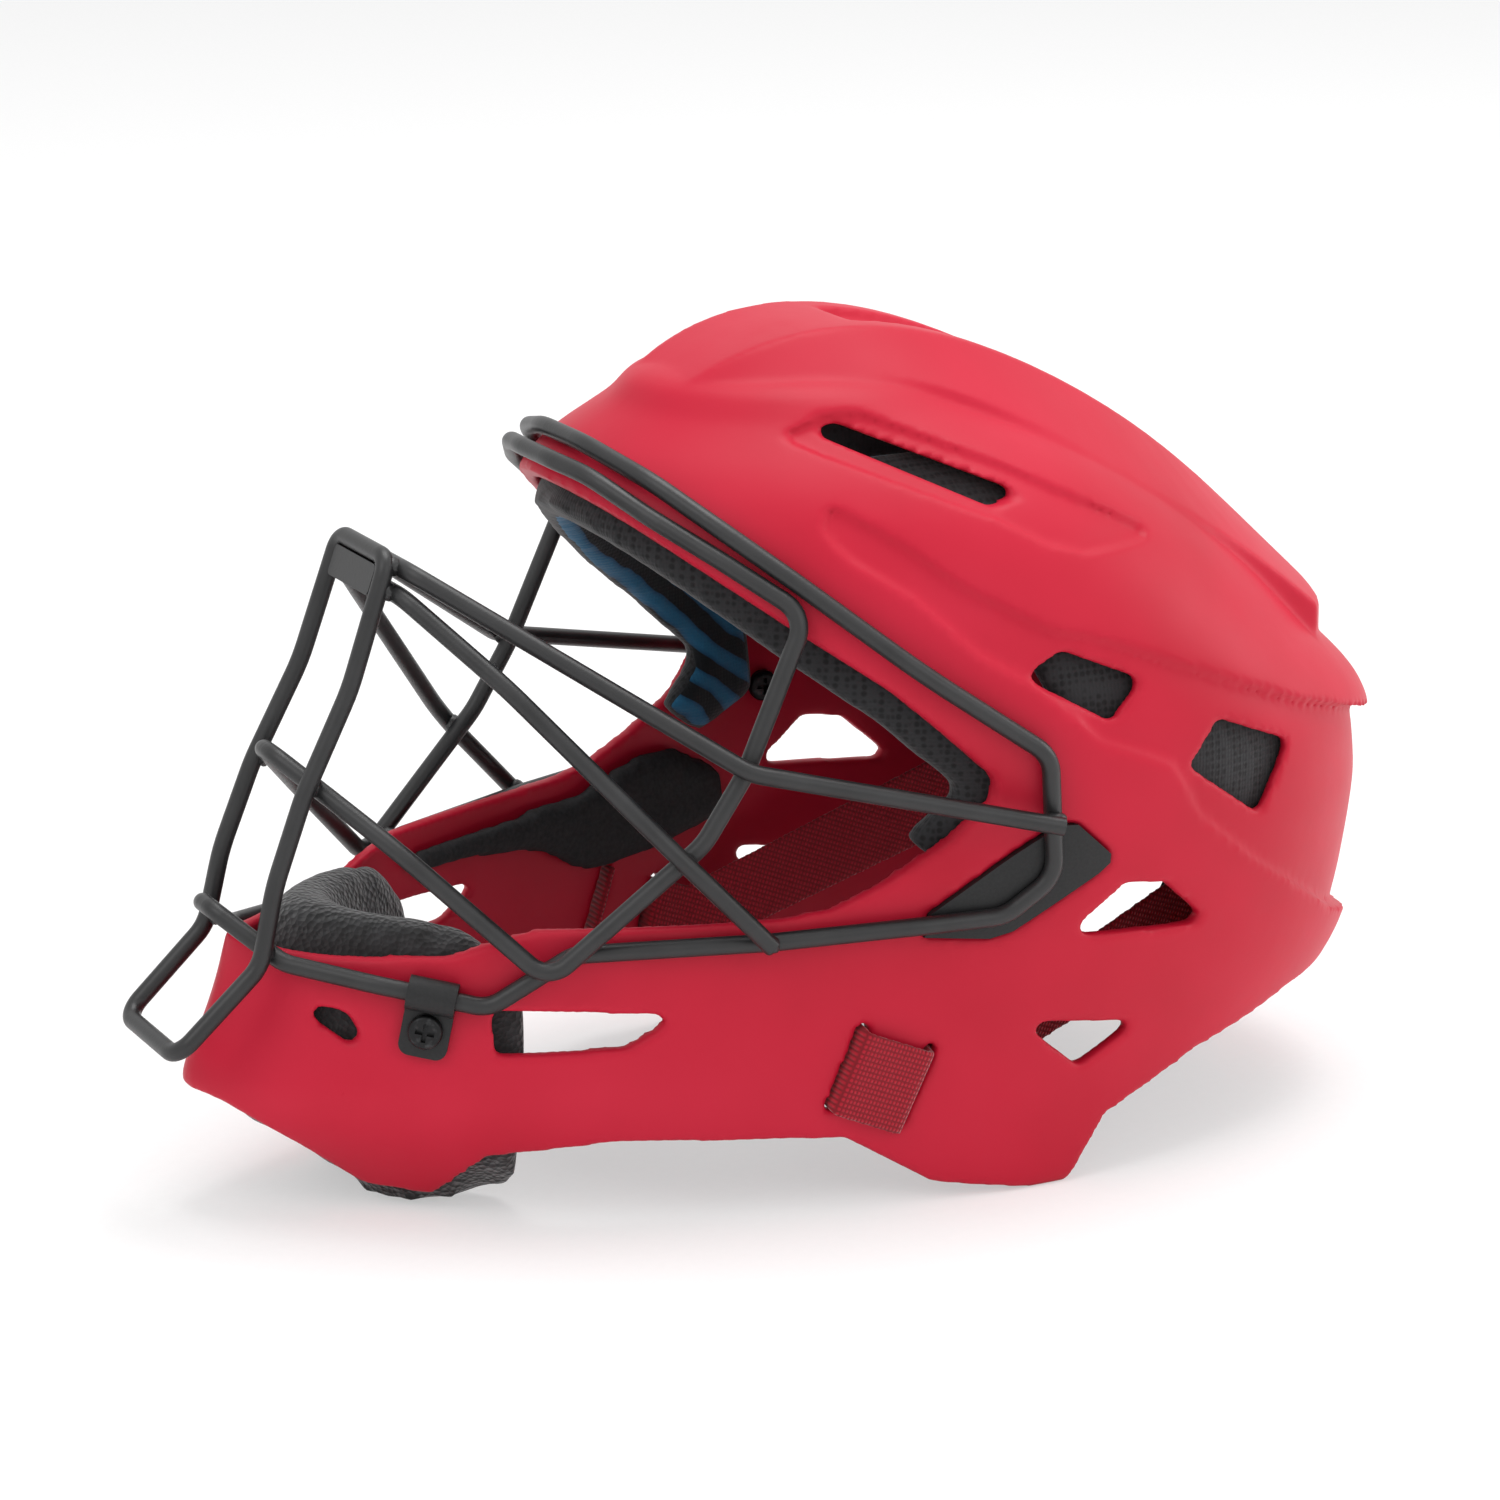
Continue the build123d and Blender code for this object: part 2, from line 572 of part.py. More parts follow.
def side_strap():
    """elastic webbing out of one slot at the jaw's corner, in at the next and back to the rear plate"""
    slot = strap_plane(strap_front_share)
    plane = Plane(origin=slot.origin, x_dir=slot.x_dir, z_dir=-slot.y_dir)
    reach = place(*strap_rear_share) - slot.origin
    length, step = reach.dot(slot.x_dir), reach.dot(slot.z_dir)
    inside, outside = -shell_inset - strap_fold, strap_stand + strap_thickness / 2
    turn_back = length + 2 * strap_fold
    route = [(0, inside), (0, outside), (length, outside + step), (length, inside + step)]
    patch = ribbon(route + [(turn_back, inside + step)], plane, strap_width)
    start = slot.origin + slot.x_dir * turn_back + slot.z_dir * (inside + step)
    end = place(*strap_anchor_share)
    run = (end - start).normalized()
    section = Rectangle(strap_width, strap_thickness)
    first = Plane(origin=start, x_dir=plane.z_dir, z_dir=slot.x_dir) * section
    last = Plane(origin=end, x_dir=(0, 0, -1), z_dir=run) * section
    return one(patch + loft([first, last]))


def top_slot():
    slot = Box(top_strap_width + 2 * strap_slot_gap, strap_thickness + 2 * strap_slot_gap, overrun)
    return Pos(place(*top_slot_share)) * slot


def top_strap():
    return ribbon(side(top_strap_shares), Plane.YZ, top_strap_width)


def left_and_right(name, solid):
    return {name + "_left": solid, name + "_right": mirror(solid, Plane.YZ)}


def pieces():
    """every sub-part by name"""
    shapes = {
        "front_shell": shell(),
        "cage_perimeter_wire": both(rod(perimeter_shares)),
        "cage_v_wire": both(rod(v_shares)),
        "cage_upper_rail": both(rod(upper_rail_shares)),
        "cage_diagonal_wire": both(rod(diagonal_shares)),
        "cage_centre_loop": both(rod(centre_loop_shares)),
        "cage_nose_plate": nose_plate(),
        "brow_liner": both(lining(brow_shares, brow_thickness)),
        "crown_pad": crown_pad(),
        "chin_pad": chin_pad(),
        "rear_plate": rear_plate(),
        "rear_plate_pad": rear_plate_pad(),
        "top_strap": top_strap(),
    }
    shapes |= left_and_right("chin_clip", clip())
    shapes |= left_and_right("chin_clip_screw", clip_screw())
    shapes |= left_and_right("chin_clip_nut", clip_nut())
    shapes |= left_and_right("side_retainer", retainer())
    shapes |= left_and_right("retainer_screw", retainer_screw())
    foam = lining(foam_shares, foam_thickness, foam_reach_share * half_width)
    shapes |= left_and_right("side_foam", foam)
    shapes |= left_and_right("jaw_pad", jaw_pad())
    shapes |= left_and_right("side_strap", side_strap())
    return shapes


def middle(shapes):
    """the middle of the whole length, where the origin stands"""
    boxes = [shape.bounding_box() for shape in shapes]
    return (min(box.min.Y for box in boxes) + max(box.max.Y for box in boxes)) / 2


if __name__ == "__main__":
    os.makedirs("parts", exist_ok=True)
    made = pieces()
    centre = middle(made.values())
    print("origin", round(centre, 2), "behind the datum")
    for name, shape in made.items():
        export_step(Pos(0, -centre, 0) * shape, f"parts/{name}.step")
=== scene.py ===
from math import radians

import bpy
import numpy as np
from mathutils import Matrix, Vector


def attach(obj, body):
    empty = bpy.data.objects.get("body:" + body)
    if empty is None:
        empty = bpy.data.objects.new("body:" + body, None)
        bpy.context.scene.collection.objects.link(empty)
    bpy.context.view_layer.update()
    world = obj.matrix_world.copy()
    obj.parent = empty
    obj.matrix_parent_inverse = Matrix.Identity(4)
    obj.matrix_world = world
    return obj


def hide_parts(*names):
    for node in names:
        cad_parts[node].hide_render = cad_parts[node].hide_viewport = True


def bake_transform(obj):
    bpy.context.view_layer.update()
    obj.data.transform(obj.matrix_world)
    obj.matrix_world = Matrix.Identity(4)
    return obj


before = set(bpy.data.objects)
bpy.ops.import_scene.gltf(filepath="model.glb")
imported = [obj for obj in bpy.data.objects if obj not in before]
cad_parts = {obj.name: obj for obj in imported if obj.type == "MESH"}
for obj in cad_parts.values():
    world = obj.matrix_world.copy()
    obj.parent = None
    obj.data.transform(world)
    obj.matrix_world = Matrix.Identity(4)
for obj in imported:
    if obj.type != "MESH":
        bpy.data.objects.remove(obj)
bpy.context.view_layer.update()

bl_info = {
    "name": "Catcher's Helmet",
    "version": (1, 0, 0),
    "blender": (4, 5, 0),
    "location": "View3D > Sidebar > Helmet",
    "description": "Moulded shell, welded cage, cloth liner and straps of a catcher's helmet",
    "category": "Object",
}

MM = 0.001
HELMET, REAR = "helmet", "rear"

# Places in the frame of the solids, in metres
HEAD_MIDDLE = (0.0, 20 * MM, 95 * MM)           # middle of the hollow that the head fills
CAMERA_TARGET = (0.0, -3.09 * MM, 104 * MM)
CAMERA_TOWARD = (0.8594, -0.4322, 0.2740)       # from the target to the camera, as in the photograph
LAMP_TARGET = (0.0, 0.0, 0.1)

# Mesh detail
MERGE = 0.002 * MM                              # corners of loose triangles that are one point
SHELL_ROUNDS, PLATE_ROUNDS, PAD_ROUNDS, SOFT_ROUNDS = 6, 3, 4, 2
PLATE_VOXEL, WEB_VOXEL, CUSHION_VOXEL = 1.1 * MM, 0.7 * MM, 5 * MM
SHELL_LIMIT, PLATE_LIMIT, WEB_LIMIT = 190000, 60000, 30000
CREASE = radians(35)                            # sharper edges of the rods and clips stay sharp

# Stuffing of the chin cushion
CLOTH_FRAMES = 20
CLOTH_PRESSURE = 4
CLOTH_SHRINK = 1.5 * MM                         # start this far inside, because it swells
CLOTH_CAP = 4 * MM                              # most that a point may move

# Crossings of the rods on the wearer's left, and the half sizes of the bead there, in millimetres
WELDS = (
    ((60.6, -83.8, 74.7), (2.6, 2.6, 2.2)), ((98.9, 34.7, 105.4), (2.2, 3.4, 2.4)),
    ((79.0, -37.0, 76.8), (2.4, 2.6, 2.6)), ((17.7, -150.8, 73.8), (2.6, 2.4, 2.8)),
    ((76.0, -42.2, 123.0), (2.4, 2.6, 2.4)), ((73.4, -58.2, 99.9), (2.4, 2.6, 2.6)),
    ((16.3, -136.4, 115.6), (2.4, 2.4, 3.0)), ((14.9, -112.3, 170.4), (2.6, 2.4, 2.4)),
    ((16.2, -114.6, 164.3), (2.6, 2.4, 2.4)),
)
LUMP_DEPTH = 0.1                                # unevenness of a bead, of its radius
LUMP_TURNS = (5.1, 3.7, 4.3)

# Studio: name, place and size in metres, and power in watts
FLOOR_SIZE = 12
LAMPS = (
    ("key_softbox", (0.6, -1.5, 1.7), 1.2, 9), ("side_softbox", (2.0, 0.6, 1.2), 1.0, 5),
    ("top_softbox", (-0.2, 0.5, 2.2), 1.4, 30), ("back_softbox", (0.5, 2.1, 0.9), 1.0, 12),
)
AIR_LIGHT, AIR_SEEN = 0.7, 1.0                  # the world's strength on the object, and as it is seen
PAPER_LIFT = 0.45                               # share of plain white in the paper as the camera sees it
SENSOR_WIDTH = 36
CLIP_NEAR, CLIP_FAR = 0.05, 50


# Colour and nodes


def colour(code):
    """sRGB hex to linear, with alpha"""
    parts = [int(code[k:k + 2], 16) / 255 for k in (1, 3, 5)]
    return [c / 12.92 if c <= 0.04045 else ((c + 0.055) / 1.055) ** 2.4 for c in parts] + [1.0]


def add_node(owner, kind, sockets=None, links=None, stops=(), **settings):
    """a node of a material or world, with its settings, its sockets' values, the outputs that feed it
    and, on a ramp, the colours along it"""
    made = owner.node_tree.nodes.new(kind)
    for name, value in settings.items():
        setattr(made, name, value)
    for name, value in (sockets or {}).items():
        made.inputs[name].default_value = value
    for name, output in (links or {}).items():
        owner.node_tree.links.new(output, made.inputs[name])
    for _ in stops[2:]:
        made.color_ramp.elements.new(1.0)
    for k, (place, code) in enumerate(stops):
        point = made.color_ramp.elements[k]
        point.position, point.color = place, colour(code)
    return made


def new_material(name):
    """a material without nodes"""
    material = bpy.data.materials.new(name)
    material.use_nodes = True
    material.node_tree.nodes.clear()
    return material


def finish_material(material, shader):
    """a material with its surface joined to a shader"""
    add_node(material, "ShaderNodeOutputMaterial", links={"Surface": shader.outputs[0]})
    return material


# Materials
# A pattern's Scale is one over a size in millimetres. The bands of a wave lie 0.31 of that size apart.


def moulded_abs(name, base, light, dark):
    # Satin injection-moulded ABS: soft wide highlights, a faint orange-peel skin and slight clouding.
    m = new_material(name)
    place = add_node(m, "ShaderNodeTexCoord").outputs["Object"]
    cloud = add_node(m, "ShaderNodeTexNoise", {"Scale": 1 / (60 * MM), "Detail": 2}, {"Vector": place})
    tint = add_node(m, "ShaderNodeValToRGB", links={"Fac": cloud.outputs["Fac"]},
                    stops=[(0.3, dark), (0.5, base), (0.75, light)])
    peel = add_node(m, "ShaderNodeTexNoise", {"Scale": 1 / (1.6 * MM), "Detail": 2}, {"Vector": place})
    smear = add_node(m, "ShaderNodeTexNoise", {"Scale": 1 / (22 * MM), "Detail": 4}, {"Vector": place})
    rough = add_node(m, "ShaderNodeMapRange", {"To Min": 0.42, "To Max": 0.54},
                     {"Value": smear.outputs["Fac"]})
    bump = add_node(m, "ShaderNodeBump", {"Strength": 0.12, "Distance": 0.12 * MM},
                    {"Height": peel.outputs["Fac"]})
    shader = add_node(m, "ShaderNodeBsdfPrincipled", {"Specular IOR Level": 0.22},
                      {"Base Color": tint.outputs["Color"], "Roughness": rough.outputs["Result"],
                       "Normal": bump.outputs["Normal"]})
    return finish_material(m, shader)


def powder_coated_steel():
    # Black powder coat on steel rod: fine pebbled skin that breaks the highlight along the rod.
    m = new_material("powder_coated_steel_black")
    place = add_node(m, "ShaderNodeTexCoord").outputs["Object"]
    pebble = add_node(m, "ShaderNodeTexNoise", {"Scale": 1 / (0.9 * MM), "Detail": 3}, {"Vector": place})
    wear = add_node(m, "ShaderNodeTexNoise", {"Scale": 1 / (14 * MM), "Detail": 4}, {"Vector": place})
    tint = add_node(m, "ShaderNodeValToRGB", links={"Fac": wear.outputs["Fac"]},
                    stops=[(0.35, "#161617"), (0.7, "#232324")])
    rough = add_node(m, "ShaderNodeMapRange", {"To Min": 0.34, "To Max": 0.5},
                     {"Value": wear.outputs["Fac"]})
    bump = add_node(m, "ShaderNodeBump", {"Strength": 0.35, "Distance": 0.12 * MM},
                    {"Height": pebble.outputs["Fac"]})
    shader = add_node(m, "ShaderNodeBsdfPrincipled", {"IOR": 1.5},
                      {"Base Color": tint.outputs["Color"], "Roughness": rough.outputs["Result"],
                       "Normal": bump.outputs["Normal"]})
    return finish_material(m, shader)


def moulded_nylon():
    # Glass-filled nylon, moulded: dull black with a grain from the tool.
    m = new_material("moulded_nylon_black")
    place = add_node(m, "ShaderNodeTexCoord").outputs["Object"]
    grain = add_node(m, "ShaderNodeTexNoise", {"Scale": 1 / (0.7 * MM), "Detail": 4}, {"Vector": place})
    tint = add_node(m, "ShaderNodeValToRGB", links={"Fac": grain.outputs["Fac"]},
                    stops=[(0.3, "#131314"), (0.7, "#1C1C1D")])
    bump = add_node(m, "ShaderNodeBump", {"Strength": 0.3, "Distance": 0.1 * MM},
                    {"Height": grain.outputs["Fac"]})
    shader = add_node(m, "ShaderNodeBsdfPrincipled", {"Specular IOR Level": 0.35, "Roughness": 0.48},
                      {"Base Color": tint.outputs["Color"], "Normal": bump.outputs["Normal"]})
    return finish_material(m, shader)


def blackened_steel():
    # Black-oxide steel screws: darker than the coat round them, with rubbed bright flecks.
    m = new_material("black_oxide_steel")
    place = add_node(m, "ShaderNodeTexCoord").outputs["Object"]
    rub = add_node(m, "ShaderNodeTexNoise", {"Scale": 1 / (2 * MM), "Detail": 3}, {"Vector": place})
    tint = add_node(m, "ShaderNodeValToRGB", links={"Fac": rub.outputs["Fac"]},
                    stops=[(0.55, "#242425"), (0.8, "#4A4A4B")])
    shader = add_node(m, "ShaderNodeBsdfPrincipled", {"Metallic": 0.8, "Roughness": 0.38},
                      {"Base Color": tint.outputs["Color"]})
    return finish_material(m, shader)


def looped_cloth():
    # Brushed loop cloth on the chin cushion: matt black with short curled loops about 1.5 mm apart.
    m = new_material("brushed_loop_cloth_black")
    place = add_node(m, "ShaderNodeTexCoord").outputs["Object"]
    loops = add_node(m, "ShaderNodeTexVoronoi", {"Scale": 1 / (1.5 * MM), "Randomness": 1.0},
                     {"Vector": place})
    fuzz = add_node(m, "ShaderNodeTexNoise", {"Scale": 1 / (5 * MM), "Detail": 6}, {"Vector": place})
    tint = add_node(m, "ShaderNodeValToRGB", links={"Fac": fuzz.outputs["Fac"]},
                    stops=[(0.35, "#101011"), (0.7, "#28282A")])
    bump = add_node(m, "ShaderNodeBump", {"Strength": 0.9, "Distance": 0.7 * MM},
                    {"Height": loops.outputs["Distance"]})
    shader = add_node(m, "ShaderNodeBsdfPrincipled",
                      {"Roughness": 0.95, "Sheen Weight": 0.4, "Sheen Roughness": 0.6,
                       "Specular IOR Level": 0.2},
                      {"Base Color": tint.outputs["Color"], "Normal": bump.outputs["Normal"]})
    return finish_material(m, shader)


def hatched_cloth():
    # Printed knit on the side towards the head: blue and black strokes on the slant over a fine weave.
    # Its edges and back are black open mesh, which shows along the rim and through the vents.
    m = new_material("printed_knit_blue_black")
    surface = add_node(m, "ShaderNodeTexCoord").outputs
    place = surface["Object"]
    turned = add_node(m, "ShaderNodeMapping", {"Rotation": (radians(38), 0, 0)}, {"Vector": place})
    strokes = add_node(m, "ShaderNodeTexWave",
                       {"Scale": 1 / (31 * MM), "Distortion": 2.2, "Detail": 2, "Detail Scale": 1.5},
                       {"Vector": turned.outputs["Vector"]}, wave_type="BANDS", bands_direction="Z")
    printed = add_node(m, "ShaderNodeValToRGB", links={"Fac": strokes.outputs["Fac"]},
                       stops=[(0.42, "#0E1216"), (0.52, "#1A4F70"), (0.9, "#26688C")])
    # backing is 0 where a face looks at the middle of the head, and 1 elsewhere
    offset = add_node(m, "ShaderNodeVectorMath", {1: HEAD_MIDDLE}, {0: place}, operation="SUBTRACT")
    outward = add_node(m, "ShaderNodeVectorMath", links={0: offset.outputs[0]}, operation="NORMALIZE")
    facing = add_node(m, "ShaderNodeVectorMath", links={0: outward.outputs[0], 1: surface["Normal"]},
                      operation="DOT_PRODUCT")
    backing = add_node(m, "ShaderNodeMath", {1: -0.5}, {0: facing.outputs["Value"]},
                       operation="GREATER_THAN")
    holes = add_node(m, "ShaderNodeTexVoronoi", {"Scale": 1 / (2.0 * MM), "Randomness": 0.25},
                     {"Vector": place})
    net = add_node(m, "ShaderNodeValToRGB", links={"Fac": holes.outputs["Distance"]},
                   stops=[(0.25, "#08080A"), (0.5, "#242426")])
    tint = add_node(m, "ShaderNodeMix",
                    links={"Factor": backing.outputs[0], "A": printed.outputs["Color"],
                           "B": net.outputs["Color"]}, data_type="RGBA")
    knit = add_node(m, "ShaderNodeTexVoronoi", {"Scale": 1 / (1.1 * MM), "Randomness": 0.2},
                    {"Vector": place})
    bump = add_node(m, "ShaderNodeBump", {"Strength": 0.5, "Distance": 0.3 * MM},
                    {"Height": knit.outputs["Distance"]})
    shader = add_node(m, "ShaderNodeBsdfPrincipled",
                      {"Roughness": 0.85, "Sheen Weight": 0.2, "Sheen Roughness": 0.5,
                       "Specular IOR Level": 0.3},
                      {"Base Color": tint.outputs["Result"], "Normal": bump.outputs["Normal"]})
    return finish_material(m, shader)


def eva_foam():
    # Closed-cell EVA foam, hot-pressed: soft black skin, pressed into a waffle about 14 mm from one
    # raised square to the next.
    m = new_material("pressed_eva_foam_black")
    place = add_node(m, "ShaderNodeTexCoord").outputs["Object"]
    across, along = [add_node(m, "ShaderNodeTexWave", {"Scale": 1 / (44 * MM)}, {"Vector": place},
                              wave_type="BANDS", bands_direction=axis, wave_profile="SIN")
                     for axis in ("Y", "Z")]
    waffle = add_node(m, "ShaderNodeMath", links={0: across.outputs["Fac"], 1: along.outputs["Fac"]},
                      operation="MINIMUM")
    skin = add_node(m, "ShaderNodeTexNoise", {"Scale": 1 / (1.2 * MM), "Detail": 4}, {"Vector": place})
    tint = add_node(m, "ShaderNodeValToRGB", links={"Fac": skin.outputs["Fac"]},
                    stops=[(0.3, "#151516"), (0.75, "#2A2A2C")])
    height = add_node(m, "ShaderNodeMath", {1: 0.25}, {0: skin.outputs["Fac"], 2: waffle.outputs[0]},
                      operation="MULTIPLY_ADD")
    bump = add_node(m, "ShaderNodeBump", {"Strength": 0.6, "Distance": 0.8 * MM},
                    {"Height": height.outputs[0]})
    shader = add_node(m, "ShaderNodeBsdfPrincipled", {"Roughness": 0.7, "Specular IOR Level": 0.35},
                      {"Base Color": tint.outputs["Color"], "Normal": bump.outputs["Normal"]})
    return finish_material(m, shader)


def elastic_webbing():
    # Woven elastic webbing: red, with ribs across it every 1.4 mm and a fine twill between them.
    m = new_material("woven_elastic_webbing_red")
    place = add_node(m, "ShaderNodeTexCoord").outputs["Object"]
    turned = add_node(m, "ShaderNodeMapping", {"Rotation": (radians(21), 0, 0)}, {"Vector": place})
    ribs = add_node(m, "ShaderNodeTexWave", {"Scale": 1 / (4.4 * MM)}, {"Vector": turned.outputs["Vector"]},
                    wave_type="BANDS", bands_direction="Z", wave_profile="SIN")
    twill = add_node(m, "ShaderNodeTexWave", {"Scale": 1 / (3.2 * MM)}, {"Vector": turned.outputs["Vector"]},
                     wave_type="BANDS", bands_direction="Y", wave_profile="SIN")
    weave = add_node(m, "ShaderNodeMath", links={0: ribs.outputs["Fac"], 1: twill.outputs["Fac"]},
                     operation="MULTIPLY")
    tint = add_node(m, "ShaderNodeValToRGB", links={"Fac": weave.outputs[0]},
                    stops=[(0.0, "#7A101D"), (0.6, "#B21B2E")])
    bump = add_node(m, "ShaderNodeBump", {"Strength": 0.7, "Distance": 0.4 * MM},
                    {"Height": weave.outputs[0]})
    shader = add_node(m, "ShaderNodeBsdfPrincipled",
                      {"Roughness": 0.8, "Sheen Weight": 0.3, "Sheen Roughness": 0.4,
                       "Specular IOR Level": 0.3},
                      {"Base Color": tint.outputs["Color"], "Normal": bump.outputs["Normal"]})
    return finish_material(m, shader)


def paper():
    # Seamless white paper sweep: matt and even, lifted towards white where the camera sees it.
    m = new_material("paper_sweep_white")
    place = add_node(m, "ShaderNodeTexCoord").outputs["Object"]
    tooth = add_node(m, "ShaderNodeTexNoise", {"Scale": 1 / (3 * MM), "Detail": 2}, {"Vector": place})
    tint = add_node(m, "ShaderNodeValToRGB", links={"Fac": tooth.outputs["Fac"]},
                    stops=[(0.0, "#F6F6F6"), (1.0, "#FCFCFC")])
    sheet = add_node(m, "ShaderNodeBsdfPrincipled", {"Roughness": 0.9, "Specular IOR Level": 0.1},
                     {"Base Color": tint.outputs["Color"]})
    rays = add_node(m, "ShaderNodeLightPath")
    lift = add_node(m, "ShaderNodeMath", {1: PAPER_LIFT}, {0: rays.outputs["Is Camera Ray"]},
                    operation="MULTIPLY")
    glow = add_node(m, "ShaderNodeEmission", {"Color": colour("#FFFFFF"), "Strength": 1.0})
    shader = add_node(m, "ShaderNodeMixShader",
                      links={0: lift.outputs[0], 1: sheet.outputs[0], 2: glow.outputs[0]})
    return finish_material(m, shader)


# Modelling


def only(obj):
    """obj alone is selected and active"""
    bpy.ops.object.select_all(action="DESELECT")
    obj.hide_set(False)
    obj.select_set(True)
    bpy.context.view_layer.objects.active = obj
    return obj


def shape_with(obj, kind, **settings):
    """a modifier, applied"""
    only(obj)
    modifier = obj.modifiers.new(kind.lower(), kind)
    for name, value in settings.items():
        setattr(modifier, name, value)
    bpy.ops.object.modifier_apply(modifier=modifier.name)
    return obj


def smooth(piece):
    """soft shading over the whole piece"""
    only(piece)
    bpy.ops.object.shade_smooth()
    return piece


def copy_of(node, name):
    """a piece of its own from a CAD node's solid, with its loose triangles merged"""
    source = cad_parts[node]
    piece = bpy.data.objects.new(name, source.data.copy())
    bpy.context.scene.collection.objects.link(piece)
    piece.data.materials.clear()
    only(piece)
    bpy.ops.object.mode_set(mode="EDIT")
    bpy.ops.mesh.select_all(action="SELECT")
    bpy.ops.mesh.remove_doubles(threshold=MERGE)
    bpy.ops.mesh.customdata_custom_splitnormals_clear()
    bpy.ops.object.mode_set(mode="OBJECT")
    return piece


def triangles(obj):
    """how many triangles a mesh makes"""
    return sum(len(p.vertices) - 2 for p in obj.data.polygons)


def dress(piece, material, body, slot, *nodes):
    """material, body, slot (not used) and the CAD nodes that a piece stands for"""
    piece.data.materials.clear()
    piece.data.materials.append(material)
    if body:
        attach(piece, body)
    if nodes:
        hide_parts(*nodes)
    return piece


def round_off(piece, voxel, rounds):
    """one closed skin with its edges softened"""
    shape_with(piece, "REMESH", mode="VOXEL", voxel_size=voxel, adaptivity=0.0)
    return shape_with(piece, "SMOOTH", factor=0.5, iterations=rounds)


def mould(piece, voxel, rounds, limit):
    """a rounded skin thinned to a limit of triangles"""
    round_off(piece, voxel, rounds)
    count = triangles(piece)
    if count > limit:
        shape_with(piece, "DECIMATE", ratio=limit / count)
    return smooth(piece)


def places(obj):
    """a mesh's points, one row each"""
    co = np.zeros(len(obj.data.vertices) * 3)
    obj.data.vertices.foreach_get("co", co)
    return co.reshape(-1, 3)


def set_places(obj, co):
    """moves a mesh's points"""
    obj.data.vertices.foreach_set("co", co.reshape(-1))
    obj.data.update()


def swell(piece):
    """cloth filled with foam: a short pressure simulation whose movement is capped"""
    start = places(piece)
    only(piece)
    cloth = piece.modifiers.new("cloth", "CLOTH")
    cloth.settings.use_pressure = True
    cloth.settings.uniform_pressure_force = CLOTH_PRESSURE
    cloth.settings.effector_weights.gravity = 0
    scene = bpy.context.scene
    for step in range(1, CLOTH_FRAMES + 1):
        scene.frame_set(step)
    bpy.ops.object.modifier_apply(modifier=cloth.name)
    scene.frame_set(1)
    moved = places(piece) - start
    length = np.linalg.norm(moved, axis=1, keepdims=True)
    set_places(piece, start + moved * np.minimum(1, CLOTH_CAP / np.maximum(length, 1e-9)))
    return piece


def pad_cover(node, voxel):
    """a pad's solid with rounded corners, closed round its foam"""
    piece = round_off(copy_of(node, node + "_cover"), voxel, PAD_ROUNDS)
    return smooth(shape_with(piece, "SUBSURF", levels=1, render_levels=1))


def chin_cushion():
    """the chin pad as stuffed cloth"""
    piece = round_off(copy_of("chin_pad", "chin_cushion"), CUSHION_VOXEL, SOFT_ROUNDS)
    shape_with(piece, "DISPLACE", strength=-CLOTH_SHRINK, mid_level=0.0)
    swell(piece)
    return smooth(shape_with(piece, "SUBSURF", levels=1, render_levels=1))


def bead(place, size, name):
    """a weld bead where two rods cross"""
    bpy.ops.object.select_all(action="DESELECT")
    bpy.ops.mesh.primitive_ico_sphere_add(subdivisions=3, radius=1.0, location=(0, 0, 0))
    piece = bpy.context.object
    piece.name = name
    co = places(piece)
    lumps = 1 + LUMP_DEPTH * np.sin(co @ np.array(LUMP_TURNS) + sum(place))[:, None]
    set_places(piece, (co * lumps * np.array(size) + np.array(place)) * MM)
    return smooth(piece)


def join(pieces, name):
    """several pieces as one"""
    bpy.ops.object.select_all(action="DESELECT")
    for piece in pieces:
        piece.select_set(True)
    bpy.context.view_layer.objects.active = pieces[0]
    bpy.ops.object.join()
    pieces[0].name = name
    return pieces[0]


# Sizes that a user may change


class HelmetSettings(bpy.types.PropertyGroup):
    shell_colour: bpy.props.StringProperty(
        name="Shell colour", description="sRGB colour of the moulded shell", default="#BC1631")
    shell_voxel: bpy.props.FloatProperty(
        name="Shell detail", description="Size of the smallest edge that the shell keeps",
        default=1.2 * MM, min=0.5 * MM, unit="LENGTH")
    pad_voxel: bpy.props.FloatProperty(
        name="Pad detail", description="Size of the smallest fold that a pad keeps",
        default=2.5 * MM, min=1.0 * MM, unit="LENGTH")
    cushion_fill: bpy.props.FloatProperty(
        name="Cushion fill", description="How tight the chin cushion is stuffed",
        default=0.7, min=0.0, max=1.0, subtype="FACTOR")
    lens: bpy.props.FloatProperty(
        name="Lens", description="Focal length of the camera in millimetres", default=120.0, unit="CAMERA")
    distance: bpy.props.FloatProperty(
        name="Camera distance", description="Camera to the middle of the helmet",
        default=1.351, unit="LENGTH")


def settings():
    """the sizes set for this scene"""
    return bpy.context.scene.helmet_settings


# Pieces


class HELMET_OT_shell(bpy.types.Operator):
    """Moulded shell with rounded edges, over the CAD solid"""
    bl_idname = "helmet.shell"
    bl_label = "Shell"

    def execute(self, context):
        red = moulded_abs("moulded_abs_red", settings().shell_colour, "#C21C37", "#B4132C")
        shell = copy_of("front_shell", "shell_moulding")
        mould(shell, settings().shell_voxel, SHELL_ROUNDS, SHELL_LIMIT)
        dress(shell, red, HELMET, "shell", "front_shell")
        plate = copy_of("rear_plate", "rear_plate_moulding")
        mould(plate, PLATE_VOXEL, PLATE_ROUNDS, PLATE_LIMIT)
        dress(plate, red, REAR, "plate", "rear_plate")
        return {"FINISHED"}


